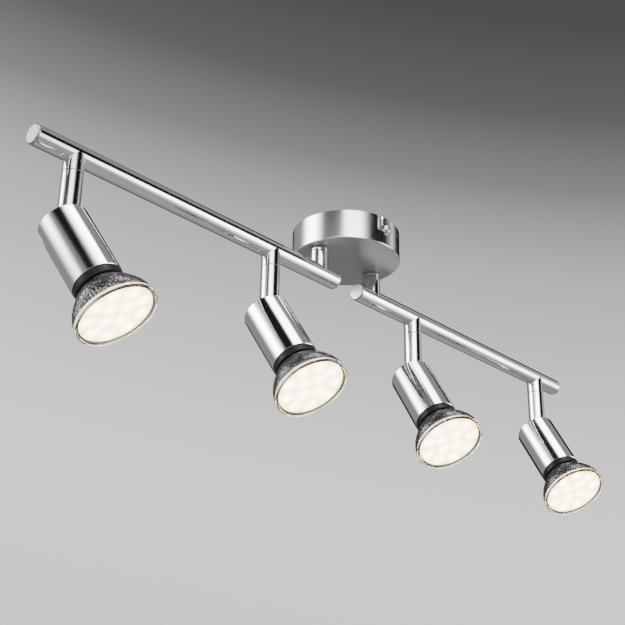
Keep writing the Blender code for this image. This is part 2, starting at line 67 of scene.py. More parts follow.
# ---- Light ------------------------------------------------------------------------------------
# A pale studio: soft boxes and black flags stand round the fixture and draw the bright and dark
# stripes on its polished tubes. The camera itself sees a plain grey wall that darkens upwards.
SOFT_BOXES = (  # (bearing, height), half width and height and edge fade in degrees, brightness
    ((38, -24), (12, 8), 9, 0.75),
    ((319, -31), (13, 8), 10, 2.8),
    ((312, -3), (16, 20), 12, 14.0),
    ((338, 44), (8, 6), 7, 1.3),
    ((338, 24), (8, 8), 7, 1.9),
    ((144, 22), (21, 15), 18, 25.0),
    ((228, 19), (36, 12), 15, 22.0),
    ((256, 67), (44, 14), 16, 20.0),
)
BLACK_FLAGS = (
    ((203, 28), (12, 6), 11, 0.08),
    ((192, 46), (15, 13), 10, 0.02),
    ((297, 24), (19, 12), 9, 0.01),
    ((34, 22), (35, 29), 8, 0.02),
)
BOX_FADE_POWER = 2.5
FLAG_FADE_POWER = 3.5
LOOK_BEARING = 43.6
WALL_LEAN = 9.45
WALL_HEIGHTS = (8, 42)
WALL_BRIGHTNESS = 1.7
WALL_TONES = ((0.0, 0.80), (0.22, 0.88), (0.42, 0.66), (0.58, 0.44), (0.70, 0.19),
              (0.80, 0.095), (0.92, 0.062))
studio = bpy.data.worlds.new("studio")
bpy.context.scene.world = studio
studio.use_nodes = True
studio.cycles.sampling_method = "NONE"
light_nodes = studio.node_tree.nodes
light_links = studio.node_tree.links
light_nodes.clear()


def math_node(tree, operation, *values):
    """One Math node in a node tree; its inputs are numbers or other nodes' outputs."""
    node = tree.nodes.new("ShaderNodeMath")
    node.operation = operation
    for socket, value in zip(node.inputs, values):
        if isinstance(value, (int, float)):
            socket.default_value = value
        else:
            tree.links.new(value, socket)
    return node.outputs[0]


def sky_math(operation, *values):
    """One Math node in the studio's light."""
    return math_node(studio.node_tree, operation, *values)


def sky_step(value, low, high):
    """A smooth rise from 0 at low to 1 at high."""
    node = light_nodes.new("ShaderNodeMapRange")
    node.interpolation_type = "SMOOTHSTEP"
    light_links.new(value, node.inputs["Value"])
    node.inputs["From Min"].default_value = low
    node.inputs["From Max"].default_value = high
    return node.outputs["Result"]


def between(share, start, end):
    """The light level that lies a share of the way from start to end."""
    return sky_math("ADD", start, sky_math("MULTIPLY", share, sky_math("SUBTRACT", end, start)))


direction = light_nodes.new("ShaderNodeTexCoord").outputs["Generated"]
split = light_nodes.new("ShaderNodeSeparateXYZ")
light_links.new(direction, split.inputs[0])
to_degrees = 180 / math.pi
height = sky_math("MULTIPLY", sky_math("ARCSINE", split.outputs["Z"]), to_degrees)
bearing = sky_math("MULTIPLY", sky_math("ARCTAN2", split.outputs["Y"], split.outputs["X"]),
                   to_degrees)


def panel_cover(centre, half_size, fade):
    """1 inside a panel at (bearing, height) and 0 outside it, with a soft edge."""
    turned = sky_math("ADD", bearing, 540 - centre[0])
    away = sky_math("ABSOLUTE", sky_math("SUBTRACT", sky_math("MODULO", turned, 360.0), 180.0))
    up = sky_math("ABSOLUTE", sky_math("SUBTRACT", height, centre[1]))
    across_panel = sky_step(away, half_size[0] + fade, half_size[0] - fade)
    along_panel = sky_step(up, half_size[1] + fade, half_size[1] - fade)
    return sky_math("MULTIPLY", across_panel, along_panel)


ambient = sky_math("ADD", 0.55, sky_math("MULTIPLY", sky_step(height, -60, 70), 0.65))
mirror_level = sky_math("ADD", 0.42, sky_math("MULTIPLY", sky_step(height, -20, -70), 0.2))
for centre, half_size, fade, brightness in SOFT_BOXES:
    cover = sky_math("POWER", panel_cover(centre, half_size, fade), BOX_FADE_POWER)
    mirror_level = between(cover, mirror_level, brightness)
for centre, half_size, fade, brightness in BLACK_FLAGS:
    bare = sky_math("POWER", sky_math("SUBTRACT", 1.0, panel_cover(centre, half_size, fade)),
                    FLAG_FADE_POWER)
    mirror_level = between(bare, brightness, mirror_level)

wall_side = sky_math("SINE", sky_math("DIVIDE", sky_math("SUBTRACT", LOOK_BEARING, bearing),
                                      to_degrees))
wall_tilt = sky_math("ADD", height, sky_math("MULTIPLY", wall_side, WALL_LEAN))
wall_step = light_nodes.new("ShaderNodeMapRange")
light_links.new(wall_tilt, wall_step.inputs["Value"])
wall_step.inputs["From Min"].default_value = WALL_HEIGHTS[0]
wall_step.inputs["From Max"].default_value = WALL_HEIGHTS[1]
wall = light_nodes.new("ShaderNodeValToRGB")
light_links.new(wall_step.outputs["Result"], wall.inputs["Fac"])
for spot, grey in WALL_TONES[2:]:
    wall.color_ramp.elements.new(spot)
stops = sorted(wall.color_ramp.elements, key=lambda stop: stop.position)
for stop, (spot, grey) in zip(stops, WALL_TONES):
    stop.position = spot
    stop.color = (grey, grey, grey, 1)

path = light_nodes.new("ShaderNodeLightPath")
mirrored = sky_math("MULTIPLY", path.outputs["Is Glossy Ray"],
                    sky_math("SUBTRACT", 1.0, path.outputs["Is Transmission Ray"]))
seen = sky_math("MAXIMUM", path.outputs["Is Camera Ray"], path.outputs["Is Transmission Ray"])
lit = between(mirrored, ambient, mirror_level)
backdrop = sky_math("MULTIPLY", wall.outputs["Color"], WALL_BRIGHTNESS)
sky = light_nodes.new("ShaderNodeBackground")
light_links.new(between(seen, lit, backdrop), sky.inputs["Strength"])
sky_out = light_nodes.new("ShaderNodeOutputWorld")
light_links.new(sky.outputs[0], sky_out.inputs["Surface"])

# ---- Canopy -----------------------------------------------------------------------------------
# The ceiling cover is a round cup of 1.2 mm steel, plated in satin nickel and rolled over at its
# lower edge. Two L-shaped notches in its wall twist onto the side screws, and two holes take the
# nipples that carry the arms.
MM = 0.001
CANOPY_RADIUS = 39.0
CANOPY_HEIGHT = 22.0
SHEET = 1.2
ARM_X = 28.0
NIPPLE_HOLE = 4.3
NOTCH_WIDTH = 5.0
NOTCH_Z = -9.1
NICKEL_COLOUR = (0.80, 0.795, 0.785, 1)


def choose(*chosen):
    """Select these pieces alone; the last one is active."""
    bpy.ops.object.select_all(action="DESELECT")
    for piece in chosen:
        piece.select_set(True)
    bpy.context.view_layer.objects.active = chosen[-1]


def spin_outline(name, outline, sides=96):
    """Spin an outline of (radius, height) points in millimetres round the Z axis."""
    bpy.ops.object.select_all(action="DESELECT")
    radius, height = outline[0]
    bpy.ops.mesh.primitive_plane_add(size=MM, location=(radius * MM, 0, height * MM))
    piece = bpy.context.object
    piece.name = name
    bpy.ops.object.transform_apply(location=True)
    bpy.ops.object.mode_set(mode="EDIT")
    bpy.ops.mesh.select_mode(type="VERT")
    bpy.ops.mesh.merge(type="CENTER")
    for next_radius, next_height in outline[1:]:
        step = ((next_radius - radius) * MM, 0, (next_height - height) * MM)
        bpy.ops.mesh.extrude_vertices_move(TRANSFORM_OT_translate={"value": step})
        radius, height = next_radius, next_height
    bpy.ops.mesh.select_all(action="SELECT")
    bpy.ops.mesh.remove_doubles(threshold=0.002 * MM)
    bpy.ops.mesh.spin(steps=sides, angle=2 * math.pi, center=(0, 0, 0), axis=(0, 0, 1))
    bpy.ops.mesh.select_all(action="SELECT")
    bpy.ops.mesh.remove_doubles(threshold=0.002 * MM)
    bpy.ops.mesh.normals_make_consistent(inside=False)
    bpy.ops.object.mode_set(mode="OBJECT")
    return piece


def ease_edges(piece, width, segments=2, angle=40):
    """Round every edge that turns by more than an angle."""
    bevel = piece.modifiers.new("eased", "BEVEL")
    bevel.width = width * MM
    bevel.segments = segments
    bevel.limit_method = "ANGLE"
    bevel.angle_limit = math.radians(angle)
    choose(piece)
    bpy.ops.object.modifier_apply(modifier="eased")


def rod(radius, length, centre, turn=(0, 0, 0), sides=64):
    """Round cutter along Z, turned and placed."""
    bpy.ops.mesh.primitive_cylinder_add(vertices=sides, radius=radius * MM, depth=length * MM,
                                        location=[c * MM for c in centre], rotation=turn)
    return bpy.context.object


def slab(size, centre):
    """Square cutter or blank."""
    bpy.ops.mesh.primitive_cube_add(size=1, location=[c * MM for c in centre],
                                    scale=[s * MM for s in size])
    return bpy.context.object


def shape_with(piece, tool, operation="DIFFERENCE"):
    """Cut a piece with a tool, or join the tool to it, and take the tool away."""
    boolean = piece.modifiers.new("shaped", "BOOLEAN")
    boolean.operation = operation
    boolean.object = tool
    boolean.solver = "EXACT"
    choose(piece)
    bpy.ops.object.modifier_apply(modifier="shaped")
    bpy.data.objects.remove(tool, do_unlink=True)


def smooth(piece, angle=38):
    """Smooth the rounds, keep the flats flat, and keep each point's place for the grain."""
    choose(piece)
    bpy.ops.object.shade_smooth_by_angle(angle=math.radians(angle))
    even = piece.modifiers.new("even", "WEIGHTED_NORMAL")
    even.keep_sharp = True
    bpy.ops.object.modifier_apply(modifier="even")
    marks = piece.data.attributes.new("own_place", "FLOAT_VECTOR", "POINT")
    for mark, point in zip(marks.data, piece.data.vertices):
        mark.vector = point.co


def fit_piece(piece, finish, slot, body, *nodes):
    """Give a piece its finish, the body it rides on and the nodes it stands for; the slot is not
    used.
    """
    piece.data.materials.clear()
    piece.data.materials.append(finish)
    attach(piece, body)
    if nodes:
        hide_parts(*nodes)


def copy_at(piece, name, matrix):
    """A copy with a mesh of its own, moved in its mesh."""
    twin = bpy.data.objects.new(name, piece.data.copy())
    bpy.context.scene.collection.objects.link(twin)
    twin.data.transform(matrix)
    return twin


def new_finish(name, colour, metallic, roughness):
    """A material whose shader holds these plain values."""
    finish = bpy.data.materials.new(name)
    finish.use_nodes = True
    shader = finish.node_tree.nodes["Principled BSDF"]
    shader.inputs["Base Color"].default_value = colour
    shader.inputs["Metallic"].default_value = metallic
    shader.inputs["Roughness"].default_value = roughness
    return finish, shader


def add_node(finish, kind, **values):
    """One more node in a material or group, with its sockets' values by name."""
    tree = finish if hasattr(finish, "interface") else finish.node_tree
    node = tree.nodes.new(kind)
    for socket, value in values.items():
        node.inputs[socket.replace("_", " ")].default_value = value
    return node


def own_place(finish, scale):
    """The piece's own place, in units of a scale along each axis."""
    place = add_node(finish, "ShaderNodeAttribute")
    place.attribute_name = "own_place"
    stretch = add_node(finish, "ShaderNodeMapping", Scale=scale)
    finish.node_tree.links.new(place.outputs["Vector"], stretch.inputs["Vector"])
    return stretch.outputs["Vector"]


def group_sockets(group, inputs, outputs):
    """Name a group's sockets; returns its two end nodes."""
    for name, kind in inputs:
        group.interface.new_socket(name=name, in_out="INPUT", socket_type=kind)
    for name, kind in outputs:
        group.interface.new_socket(name=name, in_out="OUTPUT", socket_type=kind)
    return group.nodes.new("NodeGroupInput"), group.nodes.new("NodeGroupOutput")


plating = bpy.data.node_groups.new("brushed_plating", "ShaderNodeTree")
plating_in, plating_out = group_sockets(
    plating,
    [("Vector", "NodeSocketVector"), ("Bright", "NodeSocketColor"), ("Dull", "NodeSocketColor"),
     ("Low Roughness", "NodeSocketFloat"), ("High Roughness", "NodeSocketFloat")],
    [("Color", "NodeSocketColor"), ("Roughness", "NodeSocketFloat"), ("Height", "NodeSocketFloat")])
hairline = add_node(plating, "ShaderNodeTexNoise", Scale=1.0, Detail=5.0, Roughness=0.65)
cloud = add_node(plating, "ShaderNodeTexNoise", Scale=0.035, Detail=3.0, Roughness=0.5)
blend_marks = add_node(plating, "ShaderNodeMath")
blend_marks.operation = "MULTIPLY"
polish = add_node(plating, "ShaderNodeMapRange", From_Min=0.15, From_Max=0.42)
tone = plating.nodes.new("ShaderNodeMix")
tone.data_type = "RGBA"
plating.links.new(plating_in.outputs["Vector"], hairline.inputs["Vector"])
plating.links.new(plating_in.outputs["Vector"], cloud.inputs["Vector"])
plating.links.new(hairline.outputs["Fac"], blend_marks.inputs[0])
plating.links.new(cloud.outputs["Fac"], blend_marks.inputs[1])
plating.links.new(blend_marks.outputs[0], polish.inputs["Value"])
plating.links.new(plating_in.outputs["Low Roughness"], polish.inputs["To Min"])
plating.links.new(plating_in.outputs["High Roughness"], polish.inputs["To Max"])
plating.links.new(polish.outputs["Result"], plating_out.inputs["Roughness"])
plating.links.new(cloud.outputs["Fac"], tone.inputs["Factor"])
plating.links.new(plating_in.outputs["Bright"], tone.inputs["A"])
plating.links.new(plating_in.outputs["Dull"], tone.inputs["B"])
plating.links.new(tone.outputs["Result"], plating_out.inputs["Color"])
plating.links.new(hairline.outputs["Fac"], plating_out.inputs["Height"])


def plated(name, grain, bright, dull, low, high, depth):
    """A brushed, plated metal: grain is the number of hairlines per metre along each axis."""
    finish, shader = new_finish(name, bright, 1.0, low)
    marks = add_node(finish, "ShaderNodeGroup")
    marks.node_tree = plating
    marks.inputs["Bright"].default_value = bright
    marks.inputs["Dull"].default_value = dull
    marks.inputs["Low Roughness"].default_value = low
    marks.inputs["High Roughness"].default_value = high
    bump = add_node(finish, "ShaderNodeBump", Strength=depth, Distance=0.0001)
    links = finish.node_tree.links
    links.new(own_place(finish, grain), marks.inputs["Vector"])
    links.new(marks.outputs["Color"], shader.inputs["Base Color"])
    links.new(marks.outputs["Roughness"], shader.inputs["Roughness"])
    links.new(marks.outputs["Height"], bump.inputs["Height"])
    links.new(bump.outputs["Normal"], shader.inputs["Normal"])
    return finish


canopy = spin_outline("canopy_shell", [
    (0, -CANOPY_HEIGHT), (CANOPY_RADIUS - 0.9, -CANOPY_HEIGHT),
    (CANOPY_RADIUS - 0.45, -CANOPY_HEIGHT + 0.12), (CANOPY_RADIUS - 0.12, -CANOPY_HEIGHT + 0.45),
    (CANOPY_RADIUS, -CANOPY_HEIGHT + 0.9), (CANOPY_RADIUS, -0.2), (CANOPY_RADIUS - 0.2, 0),
    (CANOPY_RADIUS - SHEET, 0), (CANOPY_RADIUS - SHEET, -CANOPY_HEIGHT + SHEET + 0.6),
    (CANOPY_RADIUS - SHEET - 0.6, -CANOPY_HEIGHT + SHEET), (0, -CANOPY_HEIGHT + SHEET)], 160)
for side in (-1, 1):
    wall_y = side * CANOPY_RADIUS
    shape_with(canopy, rod(NIPPLE_HOLE, 6, (side * ARM_X, 0, -CANOPY_HEIGHT)))
    shape_with(canopy, slab((NOTCH_WIDTH, 6, 23.2), (side * 6.5, wall_y, 0)))
    shape_with(canopy, slab((11.5, 6, NOTCH_WIDTH), (side * 3.25, wall_y, NOTCH_Z)))
    shape_with(canopy, rod(NOTCH_WIDTH / 2, 6, (-side * 2.5, wall_y, NOTCH_Z),
                           (math.pi / 2, 0, 0)))
smooth(canopy)
# The wall is polished; the flat floor under it has a duller, rougher brush, and its nickel is
# painted darker than the wall's: painted shade on the faces that look down.
canopy_nickel = plated("canopy_nickel", (500, 500, 500), NICKEL_COLOUR, (0.70, 0.695, 0.69, 1),
                       0.14, 0.20, 0.002)
shaded_floor_nickel = plated("canopy_floor_nickel", (500, 500, 500), (0.42, 0.417, 0.412, 1),
                      (0.36, 0.357, 0.352, 1), 0.40, 0.52, 0.01)
fit_piece(canopy, canopy_nickel, "satin_nickel", "canopy_base", "canopy")
# The downward faces take the darker nickel, painted shade on the canopy's floor.
canopy.data.materials.append(shaded_floor_nickel)
for face in canopy.data.polygons:
    faces_down = face.normal.z < -0.95
    face.material_index = 1 if faces_down else 0

# ---- Ceiling strap ----------------------------------------------------------------------------
# A strap of 1.5 mm zinc-plated steel is screwed to the ceiling through its two slots. Its bent
# ears hold the side screws, and the earth screw stands beside the terminal block.
STRAP_HALF = 36.6
STRAP_GAUGE = 1.5
EAR_DROP = 14.0
strap = slab((16, 2 * STRAP_HALF, EAR_DROP), (0, 0, -EAR_DROP / 2))
strap.name = "strap"
bpy.ops.object.transform_apply(location=True, scale=True)
shape_with(strap, slab((32, 2 * (STRAP_HALF - STRAP_GAUGE), 2 * EAR_DROP),
                       (0, 0, -STRAP_GAUGE - EAR_DROP)))
ease_edges(strap, 0.5, 3)
for side in (-1, 1):
    shape_with(strap, rod(2.3, 8, (0, side * STRAP_HALF, -9.2), (math.pi / 2, 0, 0), 32))
    shape_with(strap, slab((4.6, 4.6, 6), (0, side * 28.7, 0)))
    for end in (-2.3, 2.3):
        shape_with(strap, rod(2.3, 6, (0, side * 28.7 + end, 0), sides=32))
shape_with(strap, rod(2.1, 6, (3.5, -19.3, 0), sides=32))
smooth(strap)
zinc_plate, zinc_shader = new_finish("zinc_plate", (0.56, 0.57, 0.58, 1), 1.0, 0.36)
spangle = add_node(zinc_plate, "ShaderNodeTexVoronoi", Scale=1.0)
spangle_tone = add_node(zinc_plate, "ShaderNodeMapRange", To_Min=0.26, To_Max=0.46)
spangle_mix = add_node(zinc_plate, "ShaderNodeMix")
spangle_mix.data_type = "RGBA"
spangle_mix.inputs["A"].default_value = (0.50, 0.52, 0.54, 1)
spangle_mix.inputs["B"].default_value = (0.66, 0.66, 0.64, 1)
spangle_bump = add_node(zinc_plate, "ShaderNodeBump", Strength=0.05, Distance=0.0002)
zinc_links = zinc_plate.node_tree.links
zinc_place = add_node(zinc_plate, "ShaderNodeTexCoord")
zinc_scale = add_node(zinc_plate, "ShaderNodeMapping", Scale=(420, 420, 420))
zinc_links.new(zinc_place.outputs["Object"], zinc_scale.inputs["Vector"])
zinc_links.new(zinc_scale.outputs["Vector"], spangle.inputs["Vector"])
zinc_links.new(spangle.outputs["Color"], spangle_tone.inputs["Value"])
zinc_links.new(spangle.outputs["Color"], spangle_mix.inputs["Factor"])
zinc_links.new(spangle_mix.outputs["Result"], zinc_shader.inputs["Base Color"])
zinc_links.new(spangle_tone.outputs["Result"], zinc_shader.inputs["Roughness"])
zinc_links.new(spangle.outputs["Distance"], spangle_bump.inputs["Height"])
zinc_links.new(spangle_bump.outputs["Normal"], zinc_shader.inputs["Normal"])
fit_piece(strap, zinc_plate, "zinc_plate", "canopy_base", "ceiling_bracket")

# ---- Side screws ------------------------------------------------------------------------------
# Two pan-head steel screws with a cross recess stand out of the strap's ears, through the notches
# in the canopy's wall, and lock it once it is twisted.
SCREW_Y = 39.3
SCREW_Z = -9.2
side_screw = spin_outline("front_screw", [
    (0, 2.4), (1.5, 2.25), (2.6, 1.75), (3.2, 1.0), (3.4, 0.25), (3.3, 0), (2, 0)]
    + [(2.0 - 0.25 * (n % 2), -1.2 - 0.5 * n) for n in range(14)] + [(1.2, -8.5), (0, -8.5)], 48)
for turn in (0, math.pi / 2):
    recess = slab((4.0, 0.8, 2.4), (0, 0, 2.5))
    recess.rotation_euler = (0, 0, turn + 0.35)
    shape_with(side_screw, recess)
smooth(side_screw, 45)
bright_steel = plated("bright_steel", (900, 900, 900), (0.74, 0.74, 0.75, 1), (0.6, 0.6, 0.62, 1),
                      0.16, 0.30, 0.04)
screw_turn = Matrix.Rotation(math.pi / 2, 4, "X")
back_screw = copy_at(side_screw, "back_screw", Matrix.Translation(
    (0, SCREW_Y * MM, SCREW_Z * MM)) @ screw_turn.inverted())
side_screw.data.transform(Matrix.Translation((0, -SCREW_Y * MM, SCREW_Z * MM)) @ screw_turn)
fit_piece(side_screw, bright_steel, "bright_steel", "canopy_base", "front_side_screw")
fit_piece(back_screw, bright_steel, "bright_steel", "canopy_base", "back_side_screw")

# ---- Earth screw ------------------------------------------------------------------------------
# A slotted brass screw with a round washer clamps the earth wire to the strap.
earth_screw = spin_outline("earth_terminal", [
    (0, -4.2), (2.3, -4.1), (2.6, -3.8), (2.6, -2.5), (3.4, -2.4), (3.4, -1.85), (1.8, -1.8),
    (1.8, -0.3), (0, -0.3)], 40)
shape_with(earth_screw, slab((6, 0.7, 1.6), (0, 0, -4.2)))
smooth(earth_screw)
earth_screw.data.transform(Matrix.Translation((3.5 * MM, -19.3 * MM, 0)))
brass = plated("brass", (800, 800, 800), (0.80, 0.60, 0.27, 1), (0.62, 0.43, 0.17, 1),
               0.20, 0.38, 0.05)
fit_piece(earth_screw, brass, "brass", "canopy_base", "earth_screw")

# ---- Terminal block ---------------------------------------------------------------------------
# A three-way block of milky nylon hangs under the strap. Each way has a bore for the wires and a
# tower with a slotted clamping screw.
WAYS = (-9.0, 0.0, 9.0)
block = slab((14.8, 27, 6.5), (0, 0, -5.05))
block.name = "block_housing"
bpy.ops.object.transform_apply(location=True, scale=True)
ease_edges(block, 0.5)
for way in WAYS:
    tower = slab((8.6, 6.6, 4.7), (0, way, -10.15))
    bpy.ops.object.transform_apply(location=True, scale=True)
    ease_edges(tower, 0.4)
    shape_with(block, tower, "UNION")
    shape_with(block, rod(1.6, 30, (0, way, -5.7), (0, math.pi / 2, 0), 24))
    shape_with(block, rod(1.9, 6, (0, way, -12.5), sides=24))
for gap in (-4.5, 4.5):
    shape_with(block, slab((20, 0.7, 1.6), (0, gap, -8.3)))
smooth(block)
white_nylon, nylon_shader = new_finish("white_nylon", (0.80, 0.80, 0.77, 1), 0.0, 0.42)
nylon_shader.inputs["Subsurface Weight"].default_value = 0.25
nylon_shader.inputs["Subsurface Radius"].default_value = (0.0012, 0.0011, 0.0009)
moulded = bpy.data.node_groups.new("moulded_skin", "ShaderNodeTree")
moulded_in, moulded_out = group_sockets(
    moulded,
    [("Vector", "NodeSocketVector"), ("Light", "NodeSocketColor"), ("Dark", "NodeSocketColor")],
    [("Color", "NodeSocketColor"), ("Roughness Shift", "NodeSocketFloat"),
     ("Height", "NodeSocketFloat")])
skin_fine = add_node(moulded, "ShaderNodeTexNoise", Scale=2.2, Detail=4.0)
skin_broad = add_node(moulded, "ShaderNodeTexNoise", Scale=0.22, Detail=2.0)
skin_mix = moulded.nodes.new("ShaderNodeMix")
skin_mix.data_type = "RGBA"
moulded.links.new(moulded_in.outputs["Vector"], skin_fine.inputs["Vector"])
moulded.links.new(moulded_in.outputs["Vector"], skin_broad.inputs["Vector"])
moulded.links.new(skin_broad.outputs["Fac"], skin_mix.inputs["Factor"])
moulded.links.new(moulded_in.outputs["Light"], skin_mix.inputs["A"])
moulded.links.new(moulded_in.outputs["Dark"], skin_mix.inputs["B"])
moulded.links.new(skin_mix.outputs["Result"], moulded_out.inputs["Color"])
moulded.links.new(skin_broad.outputs["Fac"], moulded_out.inputs["Roughness Shift"])
moulded.links.new(skin_fine.outputs["Fac"], moulded_out.inputs["Height"])


def mould_skin(finish, shader, light, dark, rough, depth):
    """The fine skin of a moulded or fired part; rough is its lowest and highest roughness."""
    skin = add_node(finish, "ShaderNodeGroup")
    skin.node_tree = moulded
    skin.inputs["Light"].default_value = light
    skin.inputs["Dark"].default_value = dark
    place = add_node(finish, "ShaderNodeTexCoord")
    scale = add_node(finish, "ShaderNodeMapping", Scale=(1000, 1000, 1000))
    sheen = add_node(finish, "ShaderNodeMapRange", From_Min=0.3, From_Max=0.7,
                     To_Min=rough[0], To_Max=rough[1])
    bump = add_node(finish, "ShaderNodeBump", Strength=depth, Distance=0.0001)
    links = finish.node_tree.links
    links.new(place.outputs["Object"], scale.inputs["Vector"])
    links.new(scale.outputs["Vector"], skin.inputs["Vector"])
    links.new(skin.outputs["Color"], shader.inputs["Base Color"])
    links.new(skin.outputs["Roughness Shift"], sheen.inputs["Value"])
    links.new(sheen.outputs["Result"], shader.inputs["Roughness"])
    links.new(skin.outputs["Height"], bump.inputs["Height"])
    links.new(bump.outputs["Normal"], shader.inputs["Normal"])


mould_skin(white_nylon, nylon_shader, (0.84, 0.84, 0.81, 1), (0.74, 0.74, 0.70, 1),
           (0.34, 0.5), 0.06)
fit_piece(block, white_nylon, "white_nylon", "canopy_base", "terminal_block")
clamp_screw = spin_outline("clamp_screw", [
    (0, -11.9), (1.5, -11.9), (1.75, -11.6), (1.75, -8.5), (0, -8.5)], 32)
shape_with(clamp_screw, slab((5, 0.55, 1.2), (0, 0, -11.9)))
smooth(clamp_screw)
for count, way in enumerate(WAYS):
    screw = copy_at(clamp_screw, f"clamp_screw_{count}",
                    Matrix.Translation((0, way * MM, 0)) @ Matrix.Rotation(0.5 + count, 4, "Z"))
    fit_piece(screw, bright_steel, "bright_steel", "canopy_base")
bpy.data.objects.remove(clamp_screw, do_unlink=True)

# ---- Nipples and nuts -------------------------------------------------------------------------
# A hollow threaded nipple passes through the canopy's floor at each arm, held by a hexagon nut
# above and a plain collar below. The stem hangs on its flared end and turns there.
NIPPLE_TOP = -15.3
nipple = spin_outline("nipple", [(2.7, NIPPLE_TOP), (3.7, NIPPLE_TOP)]
                      + [(4.0 - 0.35 * (n % 2), -15.6 - 0.35 * n) for n in range(16)]
                      + [(4.0, -21.2), (4.0, -22.3), (6.2, -22.3), (6.5, -22.55), (6.5, -24.6),
                         (6.3, -24.8), (4.0, -24.8), (4.0, -27.0), (5.0, -27.0), (5.0, -28.2),
                         (2.7, -28.2), (2.7, NIPPLE_TOP)], 64)
smooth(nipple, 50)
bpy.ops.mesh.primitive_cylinder_add(vertices=6, radius=12 / math.sqrt(3) * MM, depth=3.2 * MM,
                                    location=(0, 0, -18.9 * MM))
nut = bpy.context.object
bpy.ops.object.transform_apply(location=True)
chamfer = spin_outline("nut_chamfer", [(0, -17.2), (6.0, -17.2), (7.2, -18.0), (7.2, -19.8),
                                       (6.0, -20.6), (0, -20.6)], 64)
shape_with(nut, chamfer, "INTERSECT")
shape_with(nut, rod(4.1, 8, (0, 0, -18.9), sides=48))
smooth(nut, 20)
tube_nickel = plated("tube_nickel", (1500, 1500, 15), NICKEL_COLOUR, (0.72, 0.715, 0.71, 1),
                     0.09, 0.13, 0.001)
for side, name in ((-1, "left"), (1, "right")):
    here = Matrix.Translation((side * ARM_X * MM, 0, 0))
    fit_piece(copy_at(nipple, f"{name}_threaded_nipple", here), tube_nickel, "satin_nickel",
              "canopy_base", f"{name}_nipple")
    fit_piece(copy_at(nut, f"{name}_hex_nut", here @ Matrix.Rotation(0.3 * side, 4, "Z")), brass,
              "brass", "canopy_base", f"{name}_nut")
bpy.data.objects.remove(nipple, do_unlink=True)
bpy.data.objects.remove(nut, do_unlink=True)

# ---- Wires in the canopy ----------------------------------------------------------------------
# Brown and blue wires run from the terminal block down into each nipple, and a green wire with a
# yellow stripe runs to the earth screw. Each is 1.7 mm across over its soft insulation.
INSULATION = {"brown": (0.12, 0.045, 0.02, 1), "blue": (0.02, 0.10, 0.42, 1)}


def lay_wire(name, points, finish):
    """One insulated wire on a smooth route in millimetres."""
    bpy.ops.object.select_all(action="DESELECT")
    bpy.ops.curve.primitive_nurbs_path_add()
    wire = bpy.context.object
    wire.name = name
    route = wire.data.splines[0]
    route.points.add(len(points) - len(route.points))
    for point, spot in zip(route.points, points):
        point.co = (*[s * MM for s in spot], 1)
    route.use_endpoint_u = True
    route.order_u = 4
    route.resolution_u = 8
    wire.data.bevel_depth = 0.85 * MM
    wire.data.bevel_resolution = 4
    wire.data.use_fill_caps = True
    wire.matrix_world = Matrix.Identity(4)
    choose(wire)
    bpy.ops.object.convert(target="MESH")
    wire = bpy.context.object
    bpy.ops.object.shade_smooth_by_angle(angle=math.radians(40))
    fit_piece(wire, finish, "white_nylon", "canopy_base")


insulation = {}
for word, colour in INSULATION.items():
    cover, cover_shader = new_finish(f"{word}_insulation", colour, 0.0, 0.4)
    darker = (*[c * 0.7 for c in colour[:3]], 1)
    mould_skin(cover, cover_shader, colour, darker, (0.32, 0.5), 0.05)
    insulation[word] = cover
earth_cover, earth_shader = new_finish("earth_insulation", (0.05, 0.30, 0.06, 1), 0.0, 0.4)
mould_skin(earth_cover, earth_shader, (0.04, 0.30, 0.06, 1), (0.62, 0.55, 0.04, 1),
           (0.32, 0.5), 0.05)
for side, name in ((-1, "left"), (1, "right")):
    for way, word, lean in ((-9, "brown", -1), (9, "blue", 1)):
        lay_wire(f"{name}_{word}_wire", [
            (side * 5, way, -5.7), (side * 9, way, -5.7), (side * 13, way, -6.2),
            (side * 19, way * 0.9, -8.5), (side * 25, way * 0.45, -11.5),
            (side * 27.6, lean * 1.3, -14.4), (side * 28, lean * 1.15, -17.5),
            (side * 28, lean * 1.15, -22)], insulation[word])
lay_wire("earth_wire", [(5, 0, -5.7), (9, 0, -5.7), (11.6, -1.5, -5.6), (12.4, -8, -4.6),
                        (11, -14.5, -3.6), (8.3, -17.6, -3.0), (6.4, -18.6, -2.9),
                        (5.6, -18.9, -2.9)], earth_cover)

# ---- Stems ------------------------------------------------------------------------------------
# Each arm's stem is a short 13 mm tube with an inward lip that rides on the nipple's flare. Its
# foot is cut to the round of the bar and brazed on.
TUBE = 6.5
TUBE_BORE = 5.3
BAR_Z = -41.0
saddle_turn = (0, math.pi / 2, 0)
stem = spin_outline("stem", [(4.3, -25.1), (6.25, -25.1), (TUBE, -25.35), (TUBE, BAR_Z),
                             (TUBE_BORE, BAR_Z), (TUBE_BORE, -26.7), (4.3, -26.7), (4.3, -25.1)], 72)
shape_with(stem, rod(TUBE + 0.02, 40, (0, 0, BAR_Z), saddle_turn, 96))
smooth(stem)
for side, name in ((-1, "left"), (1, "right")):
    fit_piece(copy_at(stem, f"{name}_stem_tube", Matrix.Translation((side * ARM_X * MM, 0, 0))),
              tube_nickel, "satin_nickel", f"{name}_arm", f"{name}_stem")
bpy.data.objects.remove(stem, do_unlink=True)

